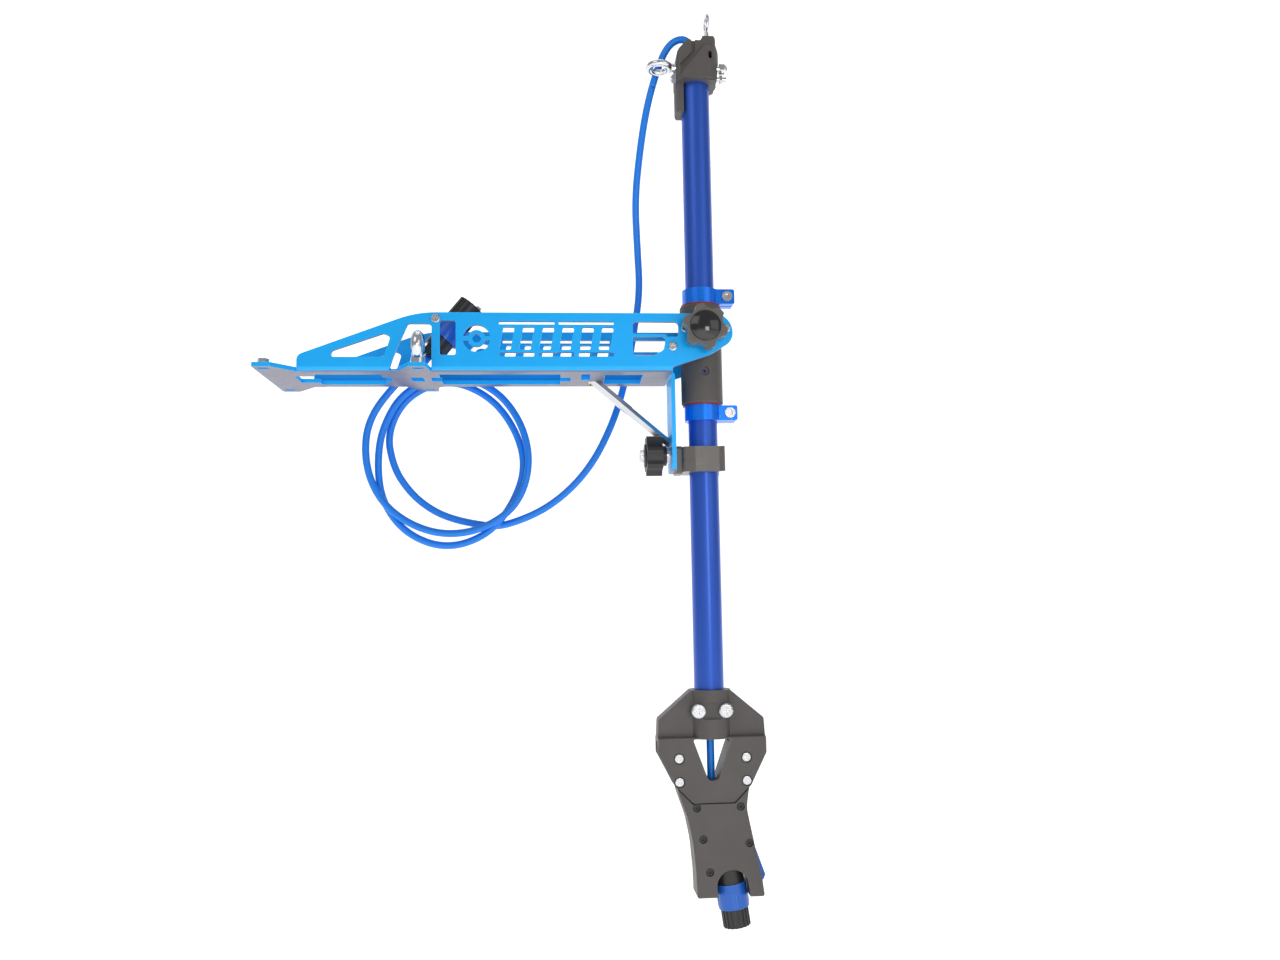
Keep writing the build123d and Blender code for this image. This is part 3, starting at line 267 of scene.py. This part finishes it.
AZURE = (0.0, 0.43, 1.0)
# Each finish's edge colour is a lighter tint of its own colour: rubbing plus a painted highlight on sharp
# edges.
finishes = {
    # The sheet's downward faces take a painted shade of dark grey-blue.
    "anodised_sheet": surface("anodised_sheet", AZURE, 0.38, metal=0.15, vary=0.02, edge_wear_and_highlight=(0.12, 0.66, 1.0),
                              grain=(1500, 0.04, 0.00006), painted_underside_shade=(0.15, 0.15, 0.21), rough_vary=0.03),
    "tube_blue": surface("tube_blue", (0.025, 0.1, 0.52), 0.38, metal=0.6, vary=0.03, edge_wear_and_highlight=(0.15, 0.3, 0.7),
                         grain=(500, 0.05, 0.00006), stretch=(1, 1, 0.02), coat=0.2, rough_vary=0.03),
    "collar_blue": surface("collar_blue", (0.0, 0.2, 0.95), 0.28, metal=0.55, vary=0.03,
                           edge_wear_and_highlight=(0.05, 0.4, 1.0), grain=(800, 0.05, 0.00006), coat=0.3, rough_vary=0.03),
    "washer_red": surface("washer_red", (0.24, 0.01, 0.02), 0.4, vary=0.08, edge_wear_and_highlight=(0.4, 0.05, 0.06)),
    "dark_nylon": surface("dark_nylon", (0.088, 0.08, 0.076), 0.5, vary=0.08, edge_wear_and_highlight=(0.17, 0.16, 0.15),
                          grain=(1400, 0.22, 0.00016)),
    "black_plastic": surface("black_plastic", (0.02, 0.02, 0.022), 0.4, vary=0.12, edge_wear_and_highlight=(0.06, 0.06, 0.065),
                             grain=(1800, 0.16, 0.0001)),
    "black_gloss": surface("black_gloss", (0.008, 0.008, 0.01), 0.14, vary=0.15, edge_wear_and_highlight=(0.04, 0.04, 0.04),
                           grain=(1200, 0.03, 0.00006), coat=0.6, rough_vary=0.03, dents=0.01),
    "grey_plastic": surface("grey_plastic", (0.125, 0.115, 0.105), 0.3, vary=0.06, edge_wear_and_highlight=(0.24, 0.23, 0.22),
                            grain=(1500, 0.16, 0.00012)),
    "ring_blue": surface("ring_blue", (0.01, 0.12, 0.55), 0.32, vary=0.06, edge_wear_and_highlight=(0.1, 0.35, 0.8),
                         grain=(1400, 0.08, 0.00008)),
    "cable_blue": surface("cable_blue", (0.0, 0.2, 0.78), 0.42, vary=0.035, edge_wear_and_highlight=(0.05, 0.3, 0.85),
                          grain=(1200, 0.06, 0.00008)),
    "stainless": surface("stainless", (0.62, 0.62, 0.64), 0.26, metal=1.0, vary=0.04, edge_wear_and_highlight=(0.85, 0.85, 0.87),
                         grain=(2200, 0.07, 0.00005)),
    "chrome": surface("chrome", (0.72, 0.73, 0.75), 0.13, metal=1.0, vary=0.03, edge_wear_and_highlight=(0.9, 0.9, 0.9),
                      grain=(600, 0.03, 0.00006), rough_vary=0.03, dents=0.01),
    "bare_aluminium": surface("bare_aluminium", (0.66, 0.67, 0.7), 0.34, metal=1.0, vary=0.04,
                              edge_wear_and_highlight=(0.85, 0.85, 0.88), grain=(1500, 0.08, 0.00006)),
    "brass": surface("brass", (0.62, 0.4, 0.14), 0.3, metal=1.0, vary=0.06, edge_wear_and_highlight=(0.85, 0.65, 0.35)),
}
slots = {entry["node"]: entry["material_slot"] for entry in frame["record"]["subparts"]}
for name, node in frame["nodes"].items():
    node.data.materials.clear()
    node.data.materials.append(finishes[slots[name]])


# ---- the cable, in the deck's frame and in millimetres ----------------------------------
CABLE_D = 7.3
CABLE_SIDES = 20
SPLIT_HEIGHT = 0.310             # where the cable's two lengths meet, in metres
RUN = [
    (342.0, 0.0, 330.0), (342.0, 0.0, 346.5), (331.0, 0.0, 358.0), (314.5, 3.0, 350.0),
    (302.5, 9.5, 321.0), (292.5, 13.0, 284.0), (285.5, 18.5, 240.0), (280.8, 28.0, 194.0),
    (283.5, 41.0, 148.0), (286.3, 51.0, 103.0), (279.2, 54.0, 60.0), (271.3, 53.5, 15.0),
    (257.0, 52.5, -34.0), (231.0, 52.0, -84.0), (192.0, 53.0, -121.0), (146.0, 56.0, -140.0),
]
LEAD = [
    (46.0, 46.5, 10.2), (54.0, 43.0, 12.2), (56.0, 28.0, 10.8),
    (58.0, 10.0, 9.6), (66.0, 0.5, 12.8), (74.1, 0.0, 22.7),
]
# Each loose turn of the coil: its distance from the coil's middle at every step round it, from the
# lower right, through the bottom, the left side, the top over the ear and the right side.
TURNS = [
    (68, 51, 44.5, 45, 53, 68.5, 81.5, 88, 82, 76.5, 77, 75),
    (79.5, 82, 77.8, 72, 67.5, 73.5, 86, 92, 91, 85, 82, 80),
    (73, 69, 68, 72.5, 78.5, 88.5, 95.5),
]
COIL_MIDDLE = (87.0, -78.0)
COIL_START = 330                 # degrees round from straight below the middle
COIL_STEP = 30
BULGE = 1.034                    # how far the points stand outside the line that they draw
TURN_DEPTH = (59.3, 52.0, 45.2)  # each turn's own distance behind the arm's middle
LAST_OWN_STEP = 8                # from this step a turn moves over to the next one's depth


def coil_points():
    """The control points of the coil's turns, one turn in front of the other."""
    points = []
    for index, turn in enumerate(TURNS):
        for step, reach in enumerate(turn):
            angle = math.radians(COIL_START + COIL_STEP * step)
            later = TURN_DEPTH[min(index + 1, len(TURN_DEPTH) - 1)]
            share = max(0.0, (step - LAST_OWN_STEP) / (len(TURNS[0]) - LAST_OWN_STEP))
            depth = TURN_DEPTH[index] + (later - TURN_DEPTH[index]) * share
            x = COIL_MIDDLE[0] - reach * BULGE * math.sin(angle)
            z = COIL_MIDDLE[1] - reach * BULGE * math.cos(angle)
            points.append((x, depth, z))
    return points


def route_curve(name, points):
    """One NURBS spline through the cable's control points, in metres."""
    curve = bpy.data.curves.new(name, "CURVE")
    curve.dimensions = "3D"
    spline = curve.splines.new("NURBS")
    spline.points.add(len(points) - 1)
    for target, point in zip(spline.points, points):
        target.co = (point[0] * MM, point[1] * MM, point[2] * MM, 1)
    spline.order_u = 3
    spline.use_endpoint_u = True
    spline.resolution_u = 10
    curve.resolution_u = 10
    return bpy.data.objects.new(name, curve)


def line_of(points):
    """The smooth line that the cable's control points draw."""
    holder = route_curve("route", points)
    SCENE.collection.objects.link(holder)
    bpy.context.view_layer.update()
    drawn = bpy.data.meshes.new_from_object(holder.evaluated_get(bpy.context.evaluated_depsgraph_get()))
    line = [v.co.copy() for v in drawn.vertices]
    bpy.data.objects.remove(holder)
    return line


def tube_mesh(name, line, radius):
    """A round tube along a line, with its frame carried from point to point without twist."""
    mesh = bpy.data.meshes.new(name)
    made = bmesh.new()
    side = Vector((0, 1, 0))
    rings = []
    for i, point in enumerate(line):
        ahead = (line[min(i + 1, len(line) - 1)] - line[max(i - 1, 0)]).normalized()
        side = (side - ahead * side.dot(ahead)).normalized()
        other = ahead.cross(side)
        ring = []
        for k in range(CABLE_SIDES):
            turn = 2 * math.pi * k / CABLE_SIDES
            ring.append(made.verts.new(point + (side * math.cos(turn) + other * math.sin(turn)) * radius))
        rings.append(ring)
    for a, b in zip(rings, rings[1:]):
        for k in range(CABLE_SIDES):
            after = (k + 1) % CABLE_SIDES
            made.faces.new((a[k], a[after], b[after], b[k])).smooth = True
    made.faces.new(rings[0][::-1])
    made.faces.new(rings[-1])
    bmesh.ops.recalc_face_normals(made, faces=made.faces)
    made.to_mesh(mesh)
    made.free()
    piece = bpy.data.objects.new(name, mesh)
    SCENE.collection.objects.link(piece)
    mesh.materials.append(finishes["cable_blue"])
    return piece


def make_cable():
    """The cable in two lengths: over the cap, which steers, and down to the coil and the plug."""
    line = line_of(RUN + coil_points() + LEAD)
    first_third = range(len(line) // 3)
    split = min(first_third, key=lambda i: abs(line[i].z - SPLIT_HEIGHT))
    upper = tube_mesh("cable_over_cap", line[:split + 1], CABLE_D / 2 * MM)
    lower = tube_mesh("cable_to_coil", line[split:], CABLE_D / 2 * MM)
    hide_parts("cable_run", "cable_coil", "cable_lead")
    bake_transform(upper)
    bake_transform(lower)


make_cable()
